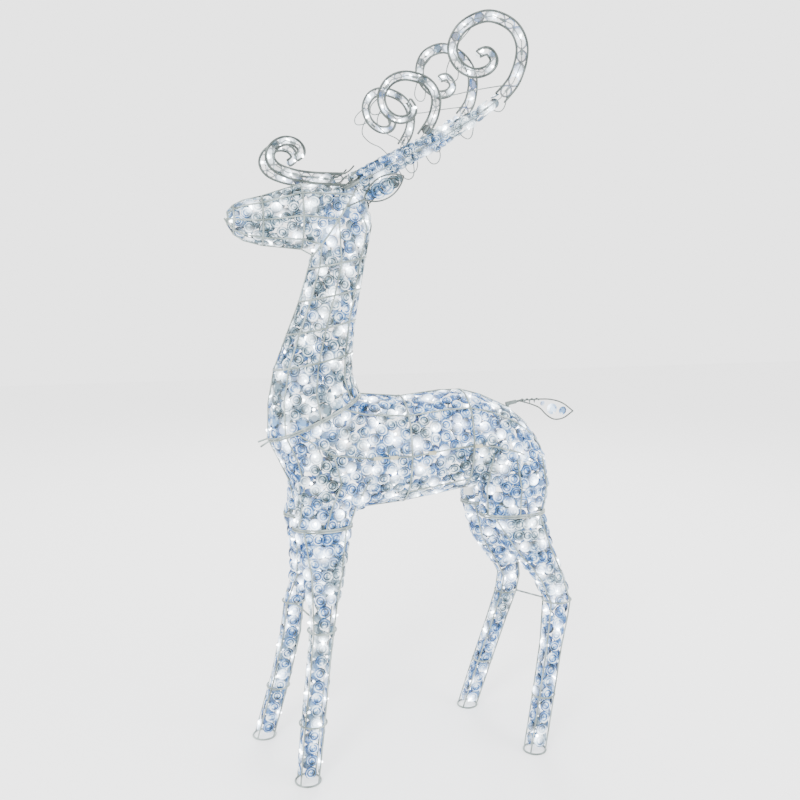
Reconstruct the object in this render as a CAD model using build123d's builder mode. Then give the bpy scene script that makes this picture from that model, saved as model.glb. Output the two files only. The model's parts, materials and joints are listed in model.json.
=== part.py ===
from build123d import *
from collections import namedtuple
from math import cos, radians, sin, tan
import os

# Lighted yard reindeer, millimetres, +Z up, nose towards -X, left side towards -Y.
# The origin is on the ground under the middle of the deer's box.
# A section is an ellipse that a wire cage and its crystal cladding both follow:
# its centre, its half size fore-and-aft (or up-and-down), its half size sideways,
# and the tilt of the first half axis above the +X direction, in degrees.
Section = namedtuple("Section", "x y z a b tilt")

# Wire and cladding
WIRE = 1.6  # radius of the lengthwise wires
RING = 1.9  # radius of the hoop wires
SKIN_INSET = 5.0  # cladding's outer face, inside the cage's outline
SKIN = 2.0  # cladding's thickness
BEND = 14.0  # bend radius where a lengthwise wire passes a hoop
BEND_SHARE = 0.45  # a smooth curve's arc uses this share of its shorter run
LARGEST_BEND = 900.0
CORD = 0.9  # radius of the light string's wire

# Seams between the sections
LEG_SEAM_Z = 520.0
SEAM_GAP = 2.2  # from the seam's middle to each of its two hoops
PIN_R = 2.0
PIN_CLEARANCE = 0.05
SLEEVE_WALL = 2.0
PIN_INSET = 17.0  # pin's axis, inside the hoop's outline
PIN_REACH = 25.0
PLATE = 2.4

# Feet
FOOT_Z = 1.5  # foot hoop's centre line: its underside is ground flat at z = 0
CLADDING_END_Z = 14.0
LOWER_HOOP_Z = 120.0
FOOT_CUT = (80, 80, 4)  # what the foot hoops' undersides are ground off with

# Lights
LAMP_R = 2.4
LAMP_LENGTH = 11.0
LAMP_INSET = 15.0
LAMP_GAP = 0.6  # between an antler's lamps and its crystal
PLUG_R = 4.0
PLUG_CLEARANCE = 0.4
PLUG_LENGTH = 34.0

SOCKET_START = 4.0  # from a seam's middle to its socket's mouth
SOCKET_LENGTH = 18.0
BODY_AXIS_Z = 660.0  # what the torso's lamps point at
CLIP = (16.0, 5.4, 7.0)
INLET_X = 132.0
INLET_Z = 569.0
INLET_FLANGE_R = 16.0
INLET_FLANGE = 4.0
INLET_BODY_R = 11.0
INLET_BODY = 18.0
INLET_BORE_R = 8.5
INLET_BORE = 12.0
INLET_PIN_R = 1.2
INLET_PIN_PITCH = 6.0

# Small parts
SEAM_RELIEF = 0.6  # between a seam's hoop and the cladding's edge
NECK_PIN_ANGLES = (0, 125, 235)
NOSE_TIP_X = -378.0
BRACE_R = 2.0
FRONT_BRACE = [(-210.5, -49, 309), (-243, 52, 320)]
HIND_BRACE = [(281, 69.5, 292), (283, -63, 323)]

LEFT = -1
RIGHT = 1
SIDES = {"left": LEFT, "right": RIGHT}


# ---------------------------------------------------------------- the deer's outline

def leg_seam(x, half_length, half_width, side):
    return Section(x, side * 60, LEG_SEAM_Z, half_length, half_width, 0)


FRONT_SEAM = {side: leg_seam(-203, 62, 42, side) for side in (LEFT, RIGHT)}
HIND_SEAM = {side: leg_seam(210, 74, 45, side) for side in (LEFT, RIGHT)}
NECK_SEAM = Section(-206.5, 0, 737.5, 106.5, 82, 25.2)

LEGS = {
    "front_left": [
        FRONT_SEAM[LEFT],
        Section(-201.5, -67, 424, 44.5, 36, 0),
        Section(-206, -72, 373, 37, 33, 0),
        Section(-210.5, -78, 309, 30.5, 30, 0),
        Section(-218, -83, 250, 29, 29, 0),
        Section(-238, -97, 88, 29.5, 29, 0),
        Section(-248, -105, FOOT_Z, 27.5, 27.5, 0),
    ],
    "front_right": [
        FRONT_SEAM[RIGHT],
        Section(-206, 66, 456, 49, 38, 0),
        Section(-214, 71, 385, 38, 34, 0),
        Section(-243, 77, 320, 26, 26, 0),
        Section(-250, 83, 250, 27, 27, 0),
        Section(-273, 93, 140, 26, 26, 0),
        Section(-310, 105, FOOT_Z, 26.5, 26.5, 0),
    ],
    "hind_left": [
        HIND_SEAM[LEFT],
        Section(245, -67, 448, 57, 40, 0),
        Section(271, -71, 408, 46, 37, 0),
        Section(290, -75, 375, 38, 34, 0),
        Section(309, -81, 323, 33, 31, 0),
        Section(303, -86, 286, 31, 30, 0),
        Section(292, -93, 224, 26, 26, 0),
        Section(266, -108, 89, 25.5, 25.5, 0),
        Section(248, -118, FOOT_Z, 25.5, 25.5, 0),
    ],
    "hind_right": [
        HIND_SEAM[RIGHT],
        Section(219, 68, 438, 55, 40, 0),
        Section(234, 72, 404, 46, 37, 0),
        Section(249, 75, 372, 38, 34, 0),
        Section(263, 80, 333, 28.5, 28.5, 0),
        Section(259, 85, 292, 27, 27, 0),
        Section(240, 91, 227, 25, 25, 0),
        Section(203, 108, 93, 25, 25, 0),
        Section(178, 118, FOOT_Z, 24.5, 24.5, 0),
    ],
}
KNEE = {"front_left": 3, "front_right": 3, "hind_left": 4, "hind_right": 5}

CHEST = [
    NECK_SEAM,
    Section(-182, 0, 672, 103, 96, 12),
    Section(-170, 0, 612, 92, 97, 5),
    Section(-166, 0, 568, 88, 92, 0),
    Section(-166, 0, 546, 66, 66, 0),
]
BARREL = [
    Section(-170, 0, 640, 95, 90, 90),
    Section(-110, 0, 661, 120.5, 97, 90),
    Section(-24, 0, 660.5, 113.5, 97, 90),
    Section(60, 0, 671, 112, 95, 90),
    Section(110, 0, 675, 108, 94, 90),
    Section(155, 0, 671, 99.5, 93, 90),
    Section(214, 0, 654, 89, 88, 90),
    Section(250, 0, 635, 80, 78, 90),
    Section(280, 0, 613, 63, 60, 90),
    Section(300, 0, 602, 28, 30, 90),
]
NECK = [
    NECK_SEAM,
    Section(-214, 0, 795, 93, 72, 18.8),
    Section(-207, 0, 852, 84, 64, 12),
    Section(-190, 0, 920, 73.5, 58, 12),
    Section(-171.5, 0, 984, 66, 54, 12),
    Section(-156, 0, 1047.5, 62, 51, 12),
]
NAPE = Section(-143.5, 0, 1104, 64.5, 50, 18)
CROWN = [
    Section(-138, 0, 1160, 51, 44, 20),
    Section(-137, 0, 1192, 32, 28, 20),
]
POLL = Section(-161, 0, 1132, 84, 52, 57)
HEAD = [
    Section(-105, 0, 1140, 40, 36, 90),
    Section(-160, 0, 1141, 64, 49, 90),
    Section(-229, 0, 1138, 65, 46, 90),
    Section(-306, 0, 1129, 49, 34, 90),
    Section(-342, 0, 1129, 40, 28, 90),
    Section(-361, 0, 1130, 29, 22, 90),
    Section(-372, 0, 1133, 14, 12, 90),
]


# Ears: a flat leaf each, from its stem on the head to its tip
EAR_BASE = (-112, 56, 1170)
EAR_AXIS = (0.764, 0.438, 0.472)
EAR_LENGTH = 90.0
EAR_HALF_WIDTH = 21.0
EAR_THICKNESS = 5.0

# Antlers: each lies in one plane that leans outwards, y = ANTLER_Y + slopes * (x, z)
ANTLER_ORIGIN = (-114.0, 1208.0)
ANTLER_Y = 33.0
ANTLER_SLOPE_X = 0.221
ANTLER_SLOPE_Z = 0.155
BEAM = [  # x, z and radius along the beam
    (-114, 1208, 23), (-77, 1228, 22), (-39, 1250, 21),
    (27, 1283, 19), (91, 1323, 16), (146, 1364, 13.5),
]
BEAM_FLATNESS = 0.8  # its thickness across the plane, over its width in the plane
BEAM_THINNING = 9.0  # and its cladding is at most this much thinner than wide, near its tip
END_CURL = [
    (146, 1364), (172, 1400), (181, 1453), (160, 1492), (113, 1509), (68, 1490),
    (50, 1454), (62, 1424), (91, 1408), (119, 1414), (130, 1431), (117, 1448), (100, 1443),
]
MID_CURL = [
    (0, 1291), (20, 1326), (24, 1364), (5, 1391), (-34, 1402), (-64, 1392),
    (-79, 1365), (-71, 1338), (-49, 1323), (-27, 1325), (-17, 1340), (-27, 1356),
]
BROW_CURL = [
    (-118, 1230), (-144, 1210), (-204, 1210), (-249, 1215), (-282, 1227), (-294, 1246),
    (-285, 1266), (-264, 1277), (-241, 1273), (-231, 1257), (-243, 1246),
]
CURL_HALF_WIDTH = {"end": (13.5, 8.5), "mid": (10.5, 7.5), "brow": (12.5, 8.0)}
BROW_Y = 36.0
BROW_SLOPE_X = -0.09
CURL_CRYSTAL_GAP = 3.0  # between a curl's edge wire and its crystal
CURL_CRYSTAL_THICKNESS = 5.0
PEG_R = 4.0
PEG_CLEARANCE = 0.05
PEG_BAR_R = 2.5  # the bar that holds the two pegs
PEG_IN = 34.0  # how far an antler's peg goes into the head
PEG_OUT = 26.0  # how far it stands out, into the antler

# Tail
TAIL_ROOT = (216, 0, 745.5)
TAIL_AXIS = (0.985, 0, 0.174)
TAIL_PEG_R = 2.5
TAIL_SOCKET_LENGTH = 24.0
TAIL_UPPER = [(250, 751.5), (290, 753), (322, 752), (352, 743), (377, 723)]
TAIL_LOWER = [(250, 750), (272, 744), (297, 734), (312, 717), (331, 705), (354, 707), (377, 723)]
TAIL_DISCS = [(303, 743, 6.5), (326, 730, 13), (352, 725, 10.5)]


def front_stump(side):
    """The front shoulder, from the leg seam up into the chest."""
    return [
        FRONT_SEAM[side],
        Section(-193, side * 56, 560, 65, 43, 0),
        Section(-190, side * 46, 640, 66, 44, 0),
    ]


def hind_stump(side):
    """The haunch, from the leg seam up into the barrel."""
    return [
        HIND_SEAM[side],
        Section(214, side * 56, 580, 82, 46, 0),
        Section(206, side * 46, 640, 82, 46, 0),
        Section(190, side * 36, 695, 58, 38, 0),
    ]


# ---------------------------------------------------------------- helpers

def section_plane(section):
    tilt = radians(section.tilt)
    return Plane(
        origin=(section.x, section.y, section.z),
        x_dir=(cos(tilt), 0, sin(tilt)),
        z_dir=(-sin(tilt), 0, cos(tilt)),
    )


def rim(section, degrees, inset=WIRE):
    """A point of the section's ellipse, moved in by inset."""
    angle = radians(degrees)
    local = Vector((section.a - inset) * cos(angle), (section.b - inset) * sin(angle), 0)
    return section_plane(section).from_local_coords(local)


def shifted(section, distance):
    """The same section, moved along its plane's normal."""
    moved = section_plane(section).from_local_coords(Vector(0, 0, distance))
    return section._replace(x=moved.X, y=moved.Y, z=moved.Z)


def between(first, second, share):
    """A section part of the way from one to the next."""
    return Section(*(p + (q - p) * share for p, q in zip(first, second)))


def at_height(sections, z):
    """The section at height z of a leg, whose sections run downwards."""
    for upper, lower in zip(sections, sections[1:]):
        if upper.z >= z >= lower.z:
            return between(upper, lower, (upper.z - z) / (upper.z - lower.z))
    raise ValueError("no section at that height")


def wire(path, radius):
    """Round wire along a line, added to the current part."""
    with BuildSketch(Plane(path @ 0, z_dir=path % 0)) as profile:
        Circle(radius)
    sweep(sections=profile.sketch, path=path)


def rod(points, radius=WIRE, bend=BEND):
    """Round wire along straight runs with rounded bends."""
    with BuildLine() as path:
        if len(points) > 2:
            FilletPolyline(*points, radius=bend)
        else:
            Line(*points)
    wire(path.line, radius)


def soft_bends(points):
    """The bend radius at each corner that turns a row of points into one smooth curve."""
    radii = []
    for before, here, after in zip(points, points[1:], points[2:]):
        arriving = here - before
        leaving = after - here
        shorter = min(arriving.length, leaving.length)
        half_turn = radians(arriving.get_angle(leaving) / 2)
        radii.append(min(BEND_SHARE * shorter / tan(half_turn), LARGEST_BEND))
    return radii


def smooth_path(points):
    with BuildLine() as path:
        FilletPolyline(*points, radius=soft_bends(points))
    return path.line


def curved_rod(points, radius=WIRE):
    """Round wire along a smooth curve."""
    wire(smooth_path(points), radius)


def oval(plane, half_length, half_width, radius=RING):
    """A closed wire oval on a plane."""
    with BuildLine(plane) as path:
        for start in (0, 180):
            EllipticalCenterArc((0, 0), half_length, half_width, start_angle=start, arc_size=180)
    wire(path.line, radius)


def hoop(section, radius=RING):
    """A closed wire hoop on a section's ellipse."""
    oval(section_plane(section), section.a - WIRE, section.b - WIRE, radius)


def body(sections, inset, mode=Mode.ADD):
    """A closed solid through the sections' ellipses, added to the current part."""
    faces = []
    for section in sections:
        with BuildSketch(section_plane(section)) as profile:
            Ellipse(section.a - inset, section.b - inset)
        faces.append(profile.sketch)
    loft(sections=faces, ruled=True, mode=mode)


def cladding(runs, inner_runs):
    """A thin shell: the union of the outer runs less the union of the inner runs."""
    with BuildPart() as hollow:
        for sections in inner_runs:
            body(sections, SKIN_INSET + SKIN)
    with BuildPart() as shell:
        for sections in runs:
            body(sections, SKIN_INSET)
        add(hollow.part, mode=Mode.SUBTRACT)
    return shell.part


def save(part, name):
    part.label = name
    export_step(part, f"parts/{name}.step")


# ---------------------------------------------------------------- seam pins and sleeves

def pin_plane(seam, degrees):
    """The plane on a seam where a pin stands: its x axis points at the hoop."""
    seat = rim(seam, degrees, PIN_INSET)
    outward = rim(seam, degrees) - seat
    return Plane(seat, x_dir=outward, z_dir=section_plane(seam).z_dir)


def seam_pin(seam, degrees):
    """A pin on the lower hoop of a seam, with the plate that joins it to the hoop."""
    plane = pin_plane(seam, degrees)
    with BuildSketch(plane.offset(-SEAM_GAP - PLATE / 2)) as plate:
        with Locations(((PIN_INSET - WIRE) / 2, 0)):
            Rectangle(PIN_INSET - WIRE, 2 * PIN_R)
        Circle(PIN_R)
    extrude(plate.sketch, amount=PLATE)
    with BuildSketch(plane.offset(-SEAM_GAP - PLATE / 2)) as shaft:
        Circle(PIN_R)
    extrude(shaft.sketch, amount=SEAM_GAP + PLATE / 2 + PIN_REACH)


def seam_sleeve(seam, degrees):
    """A sleeve on the upper hoop of a seam, with the plate that joins it to the hoop."""
    plane = pin_plane(seam, degrees)
    with BuildSketch(plane.offset(SEAM_GAP - PLATE / 2)) as plate:
        with Locations(((PIN_INSET - WIRE) / 2, 0)):
            Rectangle(PIN_INSET - WIRE, 2 * PIN_R)
        Circle(PIN_R + SLEEVE_WALL)
        Circle(PIN_R + PIN_CLEARANCE, mode=Mode.SUBTRACT)
    extrude(plate.sketch, amount=PLATE)
    with BuildSketch(plane.offset(SEAM_GAP - PLATE / 2)) as tube:
        Circle(PIN_R + SLEEVE_WALL)
        Circle(PIN_R + PIN_CLEARANCE, mode=Mode.SUBTRACT)
    extrude(tube.sketch, amount=PIN_REACH - 1)


# ---------------------------------------------------------------- lights

def lamp(point, towards):
    """One lamp's clear husk, pointing from its point towards another."""
    with BuildSketch(Plane(point, z_dir=towards - point)) as profile:
        Circle(LAMP_R)
    extrude(profile.sketch, amount=LAMP_LENGTH / 2, both=True)


def lamp_route(sections, turn=95, start=20):
    """Points of a light string that winds down inside a run of sections."""
    return [rim(s, start + turn * i, LAMP_INSET) for i, s in enumerate(sections)]


def evenly(sections, step):
    """Sections about a step apart along a run."""
    out = [sections[0]]
    for first, second in zip(sections, sections[1:]):
        span = (Vector(second.x, second.y, second.z) - Vector(first.x, first.y, first.z)).length
        parts = max(1, round(span / step))
        out += [between(first, second, (i + 1) / parts) for i in range(parts)]
    return out


# ---------------------------------------------------------------- legs

def leg_frame(sections, knee):
    top = shifted(sections[0], -SEAM_GAP)
    run = [top] + sections[1:]
    with BuildPart() as frame:
        for degrees in (45, 135, 225, 315):
            rod([rim(s, degrees) for s in run])
        hoop(top)
        hoop(run[knee])
        hoop(at_height(sections, LOWER_HOOP_Z))
    return frame.part


def leg_cladding(sections):
    run = [at_height(sections, LEG_SEAM_Z - SEAM_GAP - RING - SEAM_RELIEF)]
    run += sections[1:-1]
    run += [at_height(sections, CLADDING_END_Z)]
    return cladding([run], [run])


def foot_ring(foot):
    """The hoop that the leg stands on, ground flat underneath."""
    with BuildPart() as ring:
        hoop(foot)
        with Locations((foot.x, foot.y, -FOOT_CUT[2] / 2)):
            Box(*FOOT_CUT, mode=Mode.SUBTRACT)
    return ring.part


def leg_string_route(sections):
    upper = at_height(sections, LEG_SEAM_Z - 40)
    lower = at_height(sections, 40)
    inner = [s for s in sections[1:-1] if s.z < LEG_SEAM_Z - 60]
    return lamp_route(evenly([upper] + inner + [lower], 52), turn=88)


def string_plug(seam):
    """The light string's plug, standing through a seam."""
    with BuildSketch(section_plane(seam).offset(-PLUG_LENGTH / 2)) as profile:
        Circle(PLUG_R)
    extrude(profile.sketch, amount=PLUG_LENGTH)


def string_socket(seam, start):
    """The socket that a plug slides into, from start along the seam's normal."""
    with BuildSketch(section_plane(seam).offset(start)) as profile:
        Circle(PLUG_R + PLUG_CLEARANCE + SLEEVE_WALL)
        Circle(PLUG_R + PLUG_CLEARANCE, mode=Mode.SUBTRACT)
    extrude(profile.sketch, amount=SOCKET_LENGTH)


def leg_lamps(pair):
    with BuildPart() as lamps:
        for side in SIDES:
            sections = LEGS[f"{pair}_{side}"]
            for point in leg_string_route(sections):
                axis = at_height(sections, point.Z)
                lamp(point, Vector(axis.x, axis.y, axis.z))
    return lamps.part


def leg_strings(pair):
    with BuildPart() as strings:
        for side in SIDES:
            sections = LEGS[f"{pair}_{side}"]
            seam = sections[0]
            plug_foot = Vector(seam.x, seam.y, seam.z - PLUG_LENGTH / 2 + 4)
            rod([plug_foot] + leg_string_route(sections), CORD, 4)
            string_plug(seam)
    return strings.part


def leg_pins(pair):
    with BuildPart() as pins:
        for side in SIDES:
            for degrees in (0, 180):
                seam_pin(LEGS[f"{pair}_{side}"][0], degrees)
    return pins.part


def legs(pair, brace_ends):
    for side in SIDES:
        name = f"{pair}_{side}"
        save(leg_frame(LEGS[name], KNEE[name]), f"{name}_leg_frame")
        save(leg_cladding(LEGS[name]), f"{name}_leg_crystal")
        save(foot_ring(LEGS[name][-1]), f"{name}_foot_ring")
    save(leg_pins(pair), f"{pair}_leg_pins")
    save(leg_lamps(pair), f"{pair}_leg_lamps")
    save(leg_strings(pair), f"{pair}_leg_light_strings")
    with BuildPart() as brace:
        rod(brace_ends, BRACE_R)
    save(brace.part, f"{pair}_leg_brace")


# ---------------------------------------------------------------- torso

def torso_frame():
    collar = shifted(NECK_SEAM, -SEAM_GAP)
    with BuildPart() as frame:
        hoop(collar)
        rod([rim(collar, 0)] + [rim(s, 0) for s in BARREL[2:]])
        rod([rim(s, 180) for s in [collar] + CHEST[1:4]])
        for side in (LEFT, RIGHT):
            rod([rim(collar, side * 60)] + [rim(s, side * 45) for s in BARREL[1:]])
            middle = [rim(collar, side * 120), rim(CHEST[1], side * 92)]
            rod(middle + [rim(s, side * 90) for s in BARREL[1:]])
            rod([rim(s, side * 135) for s in BARREL[2:5]])
            rod([rim(s, side * 172) for s in BARREL[1:6]])
            shoulder_wires(side, collar)
            haunch_wires(side)
        for section in (BARREL[2], BARREL[4], BARREL[-1]):
            hoop(section)
    return frame.part


def shoulder_wires(side, collar):
    stump = front_stump(side)
    stump[0] = shifted(stump[0], SEAM_GAP)
    hoop(stump[0])
    rod([rim(s, side * 90) for s in (stump[0], stump[1], CHEST[2])] + [rim(CHEST[1], side * 92)])
    lower = [rim(s, side * 150) for s in stump[:2]]
    rod(lower + [rim(CHEST[2], side * 140), rim(CHEST[1], side * 135), rim(collar, side * 135)])
    rod([rim(s, side * 30) for s in stump[:2]] + [rim(BARREL[1], side * 112)])


def haunch_wires(side):
    stump = hind_stump(side)
    stump[0] = shifted(stump[0], SEAM_GAP)
    hoop(stump[0])
    rod([rim(s, side * 90) for s in stump[:3]])
    rod([rim(s, side * 35) for s in stump[:3]])
    rod([rim(s, side * 150) for s in stump[:2]] + [rim(BARREL[5], side * 100)])


def torso_cladding():
    top = shifted(NECK_SEAM, -SEAM_GAP - RING - SEAM_RELIEF)
    runs = [[top] + CHEST[1:], BARREL]
    inner_runs = [
        [top] + CHEST[1:-1] + [shifted(CHEST[-1], SKIN)],
        [shifted(BARREL[0], -SKIN)] + BARREL[1:-1] + [shifted(BARREL[-1], SKIN)],
    ]
    for side in (LEFT, RIGHT):
        for stump in (front_stump(side), hind_stump(side)):
            stump[0] = shifted(stump[0], SEAM_GAP + RING + SEAM_RELIEF)
            runs.append(stump)
            inner_runs.append(stump)
    return cladding(runs, inner_runs)


def all_leg_seams():
    return [sections[0] for sections in LEGS.values()]


def leg_sleeves():
    with BuildPart() as sleeves:
        for seam in all_leg_seams():
            for degrees in (0, 180):
                seam_sleeve(seam, degrees)
    return sleeves.part


def string_sockets():
    with BuildPart() as sockets:
        for seam in all_leg_seams():
            string_socket(seam, SOCKET_START)
        string_socket(NECK_SEAM, -SOCKET_START - SOCKET_LENGTH)
    return sockets.part


def torso_route():
    chest = lamp_route(evenly([shifted(NECK_SEAM, -40)] + CHEST[2:4], 45), turn=100, start=150)
    return chest + lamp_route(evenly(BARREL[1:-1], 34), turn=100, start=200)


def torso_lamps():
    with BuildPart() as lamps:
        for point in torso_route():
            lamp(point, Vector(point.X, 0, BODY_AXIS_Z))
    return lamps.part


def torso_string():
    """The string that winds through the lamps, with a branch to each leg's socket."""
    route = torso_route()
    with BuildPart() as string:
        start = section_plane(NECK_SEAM).from_local_coords(Vector(0, 0, -SOCKET_START - SOCKET_LENGTH))
        rod([start] + route, CORD, 4)
        for seam in all_leg_seams():
            top = Vector(seam.x, seam.y, seam.z + SOCKET_START + SOCKET_LENGTH - 2)
            nearest = min(route, key=lambda point: (point - top).length)
            rod([top, nearest], CORD)
    return string.part


def string_clips():
    """Tabs that hold the string's wires on the frame's middle wire."""
    with BuildPart() as clips:
        for side in (LEFT, RIGHT):
            for section in (
                between(BARREL[1], BARREL[2], 0.15),
                between(BARREL[1], BARREL[2], 0.55),
                between(BARREL[2], BARREL[3], 0.5),
                between(BARREL[4], BARREL[5], 0.2),
            ):
                with Locations(rim(section, side * 90, 0.6)):
                    Box(*CLIP)
    return clips.part


def power_inlet():
    """The round inlet under the belly, clamped on the two belly wires."""
    with BuildPart() as inlet:
        with Locations((INLET_X, 0, INLET_Z)):
            Cylinder(INLET_FLANGE_R, INLET_FLANGE)
        with Locations((INLET_X, 0, INLET_Z - 10)):
            Cylinder(INLET_BODY_R, INLET_BODY)
        with Locations((INLET_X, 0, INLET_Z - 14)):
            Cylinder(INLET_BORE_R, INLET_BORE, mode=Mode.SUBTRACT)
        for x in (INLET_X - INLET_PIN_PITCH / 2, INLET_X + INLET_PIN_PITCH / 2):
            with Locations((x, 0, INLET_Z - 13)):
                Cylinder(INLET_PIN_R, INLET_BORE)
    return inlet.part


def tail_plane(offset=0.0):
    return Plane(TAIL_ROOT, x_dir=(0, 1, 0), z_dir=TAIL_AXIS).offset(offset)


def tail_socket():
    with BuildPart() as socket:
        with BuildSketch(tail_plane()):
            Circle(TAIL_PEG_R + SLEEVE_WALL)
            Circle(TAIL_PEG_R + PIN_CLEARANCE, mode=Mode.SUBTRACT)
        extrude(amount=TAIL_SOCKET_LENGTH)
        with Locations((TAIL_ROOT[0] + 4, 0, TAIL_ROOT[2] - 5)):
            Box(6, 4, 5)
        with BuildSketch(tail_plane()):
            Circle(TAIL_PEG_R + PIN_CLEARANCE)
        extrude(amount=TAIL_SOCKET_LENGTH, mode=Mode.SUBTRACT)
    return socket.part


def torso():
    save(torso_frame(), "torso_frame")
    shell = torso_cladding()
    for name, keep in (("left", Keep.TOP), ("right", Keep.BOTTOM)):
        with BuildPart() as half:
            add(shell)
            split(bisect_by=Plane.XZ, keep=keep)
        save(half.part, f"torso_crystal_{name}")
    with BuildPart() as neck_pins:
        for degrees in NECK_PIN_ANGLES:
            seam_pin(NECK_SEAM, degrees)
    save(neck_pins.part, "neck_pins")
    save(leg_sleeves(), "leg_sleeves")
    save(tail_socket(), "tail_socket")
    save(string_sockets(), "string_sockets")
    save(torso_string(), "torso_light_string")
    save(torso_lamps(), "torso_lamps")
    save(string_clips(), "string_clips")
    save(power_inlet(), "power_inlet")


# ---------------------------------------------------------------- neck and head

def neck_head_frame():
    collar = shifted(NECK_SEAM, SEAM_GAP)
    with BuildPart() as frame:
        for degrees in range(0, 360, 45):
            neck = [rim(s, degrees) for s in [collar] + NECK[1:]]
            if degrees in (315, 0, 45):
                neck.append(rim(NAPE, degrees))
            rod(neck + [rim(POLL, degrees)])
            rod([rim(s, degrees) for s in [POLL] + HEAD[2:]])
        for section in [collar] + NECK[2:] + [POLL] + HEAD[2:4] + HEAD[5:]:
            hoop(section)
        nose = HEAD[-1]
        rod([(nose.x + 2, 0, nose.z - nose.a), (NOSE_TIP_X, 0, nose.z)])
        rod([(nose.x, 0, nose.z + nose.a - WIRE), (nose.x, 0, nose.z - nose.a + WIRE)])
    return frame.part


def neck_head_cladding():
    bottom = shifted(NECK_SEAM, SEAM_GAP + RING + SEAM_RELIEF)
    neck = [bottom] + NECK[1:] + [NAPE] + CROWN
    neck_inner = neck[:-1] + [shifted(neck[-1], -SKIN)]
    head_inner = [shifted(HEAD[0], SKIN)] + HEAD[1:-1] + [shifted(HEAD[-1], -SKIN)]
    return cladding([neck, HEAD], [neck_inner, head_inner])


def ear_plane(side):
    axis = Vector(EAR_AXIS[0], side * EAR_AXIS[1], EAR_AXIS[2]).normalized()
    width = Vector(0, 0, 1) - axis * axis.Z
    return Plane(
        (EAR_BASE[0], side * EAR_BASE[1], EAR_BASE[2]), x_dir=axis, z_dir=axis.cross(width)
    )


def ear_frame(side):
    """The ear's leaf-shaped outline wires, its midrib and its stem on the head."""
    plane = ear_plane(side)
    with BuildPart() as frame:
        for edge in (1, -1):
            with BuildLine(plane) as path:
                ThreePointArc(
                    (0, 0), (EAR_LENGTH * 0.45, edge * EAR_HALF_WIDTH), (EAR_LENGTH, 0)
                )
            wire(path.line, WIRE)
        root = plane.from_local_coords(Vector(1, 0, 0))
        rod([rim(POLL, side * 70), root])
        with Locations(plane.from_local_coords(Vector(EAR_LENGTH, 0, 0))):
            Sphere(WIRE)
    return frame.part


def ear_crystal(side):
    plane = ear_plane(side).offset(-EAR_THICKNESS / 2)
    inset = 4.0
    with BuildPart() as crystal:
        with BuildSketch(plane):
            with BuildLine():
                for edge in (1, -1):
                    ThreePointArc(
                        (3 * inset, 0),
                        (EAR_LENGTH * 0.45, edge * (EAR_HALF_WIDTH - inset)),
                        (EAR_LENGTH - 3 * inset, 0),
                    )
            make_face()
        extrude(amount=EAR_THICKNESS)
    return crystal.part


def antler_pegs():
    """The two pegs that the antlers push on to, with the bar that holds them."""
    inner_ends = []
    with BuildPart() as pegs:
        for side in (LEFT, RIGHT):
            plane = beam_planes(side)[0]
            inner_ends.append(plane.from_local_coords(Vector(0, 0, -PEG_IN + PEG_R)))
            with BuildSketch(plane.offset(-PEG_IN)) as profile:
                Circle(PEG_R)
            extrude(profile.sketch, amount=PEG_IN + PEG_OUT)
        rod(inner_ends, PEG_BAR_R)
        middle = (inner_ends[0] + inner_ends[1]) * 0.5
        spine = rim(HEAD[1], 0)
        rod([middle, Vector(middle.X, 0, spine.Z + 1)], PEG_BAR_R)
    return pegs.part


def neck_route():
    neck = lamp_route(evenly(NECK[1:], 38), turn=100, start=60)
    return neck + lamp_route(evenly(HEAD[2:5], 42), turn=100, start=250)


def neck_head():
    save(neck_head_frame(), "neck_head_frame")
    shell = neck_head_cladding()
    throat = Plane((-200, 0, 1068), z_dir=(-0.75, 0, 0.66))
    for name, keep in (("head", Keep.TOP), ("neck", Keep.BOTTOM)):
        with BuildPart() as piece:
            add(shell)
            split(bisect_by=throat, keep=keep)
        save(piece.part, f"{name}_crystal")
    for name, side in SIDES.items():
        save(ear_frame(side), f"{name}_ear_frame")
        save(ear_crystal(side), f"{name}_ear_crystal")
    with BuildPart() as sleeves:
        for degrees in NECK_PIN_ANGLES:
            seam_sleeve(NECK_SEAM, degrees)
    save(sleeves.part, "neck_sleeves")
    save(antler_pegs(), "antler_pegs")
    route = neck_route()
    with BuildPart() as string:
        start = section_plane(NECK_SEAM).from_local_coords(Vector(0, 0, PLUG_LENGTH / 2 - 4))
        rod([start] + route, CORD, 4)
        string_plug(NECK_SEAM)
    save(string.part, "neck_light_string")
    with BuildPart() as lamps:
        for point in route:
            lamp(point, Vector(point.X, 0, point.Z))
    save(lamps.part, "neck_lamps")


# ---------------------------------------------------------------- antlers

def antler_normal(side):
    return Vector(-side * ANTLER_SLOPE_X, 1, -side * ANTLER_SLOPE_Z).normalized()


def antler_point(x, z, side):
    lean = ANTLER_SLOPE_X * (x - ANTLER_ORIGIN[0]) + ANTLER_SLOPE_Z * (z - ANTLER_ORIGIN[1])
    return Vector(x, side * (ANTLER_Y + lean), z)


def brow_normal(side):
    return Vector(-side * BROW_SLOPE_X, 1, 0).normalized()


def brow_point(x, z, side):
    return Vector(x, side * (BROW_Y + BROW_SLOPE_X * (x + 144)), z)


def beam_planes(side):
    """A plane across the beam at each of its points, with x in the antler's plane."""
    centres = [antler_point(x, z, side) for x, z, radius in BEAM]
    planes = []
    for i, centre in enumerate(centres):
        tangent = centres[min(i + 1, len(centres) - 1)] - centres[max(i - 1, 0)]
        across = tangent.cross(antler_normal(side))
        planes.append(Plane(centre, x_dir=across, z_dir=tangent))
    return planes


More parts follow.
